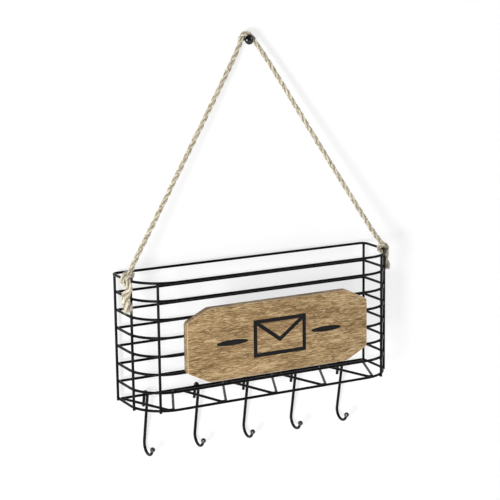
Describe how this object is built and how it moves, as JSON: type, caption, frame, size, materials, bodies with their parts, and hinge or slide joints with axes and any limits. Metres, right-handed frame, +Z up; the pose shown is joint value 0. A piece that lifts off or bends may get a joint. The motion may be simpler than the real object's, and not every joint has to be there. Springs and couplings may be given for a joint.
{
  "type": "letter rack",
  "caption": "Wall-hung letter rack: a welded wire basket with a clipped-corner wooden plaque, swinging wire hooks below it and a knotted rope hanger over a nail.",
  "frame": {"origin": "on the nail's axis, at the face of the wall", "axes": "+X to the right along the wall, +Y into the wall, +Z up"},
  "size_m": [0.343, 0.1235, 0.472],
  "materials": {
    "basket_wire": "satin black powder coat",
    "hook_wire": "satin black powder coat",
    "plaque_wood": "brown oiled wood with wavy grain",
    "strap_steel": "plain zinc-plated steel",
    "nail_black": "glossy black",
    "rope_jute": "twisted natural jute"
  },
  "bodies": {
    "basket": {"top_rim": "basket_wire", "loop_wire_2": "basket_wire", "loop_wire_3": "basket_wire", "loop_wire_4": "basket_wire", "loop_wire_5": "basket_wire", "loop_wire_6": "basket_wire", "loop_wire_7": "basket_wire", "bottom_loop": "basket_wire", "back_upright_left": "basket_wire", "back_upright_right": "basket_wire", "end_upright_left": "basket_wire", "end_upright_right": "basket_wire", "front_upright_left": "basket_wire", "front_upright_right": "basket_wire", "floor_wire": "basket_wire", "plaque_board": "plaque_wood", "plaque_strap_left": "strap_steel", "plaque_strap_right": "strap_steel", "plaque_screws": "strap_steel", "wall_nail": "nail_black", "hanger_rope": "rope_jute"},
    "hook_1": {"hook_1": "hook_wire", "hook_ball_1": "hook_wire"},
    "hook_2": {"hook_2": "hook_wire", "hook_ball_2": "hook_wire"},
    "hook_3": {"hook_3": "hook_wire", "hook_ball_3": "hook_wire"},
    "hook_4": {"hook_4": "hook_wire", "hook_ball_4": "hook_wire"},
    "hook_5": {"hook_5": "hook_wire", "hook_ball_5": "hook_wire"}
  },
  "joints": [
    {"name": "hook_1_swing", "type": "hinge", "parent": "basket", "child": "hook_1", "pos_m": [-0.132, -0.01202, -0.3913], "axis": [-1, 0, 0], "range_deg": [0, 72]},
    {"name": "hook_2_swing", "type": "hinge", "parent": "basket", "child": "hook_2", "pos_m": [-0.068, -0.01202, -0.3913], "axis": [-1, 0, 0], "range_deg": [0, 72]},
    {"name": "hook_3_swing", "type": "hinge", "parent": "basket", "child": "hook_3", "pos_m": [-0.004, -0.01202, -0.3913], "axis": [-1, 0, 0], "range_deg": [0, 72]},
    {"name": "hook_4_swing", "type": "hinge", "parent": "basket", "child": "hook_4", "pos_m": [0.06, -0.01202, -0.3913], "axis": [-1, 0, 0], "range_deg": [0, 72]},
    {"name": "hook_5_swing", "type": "hinge", "parent": "basket", "child": "hook_5", "pos_m": [0.124, -0.01202, -0.3913], "axis": [-1, 0, 0], "range_deg": [0, 72]}
  ]
}
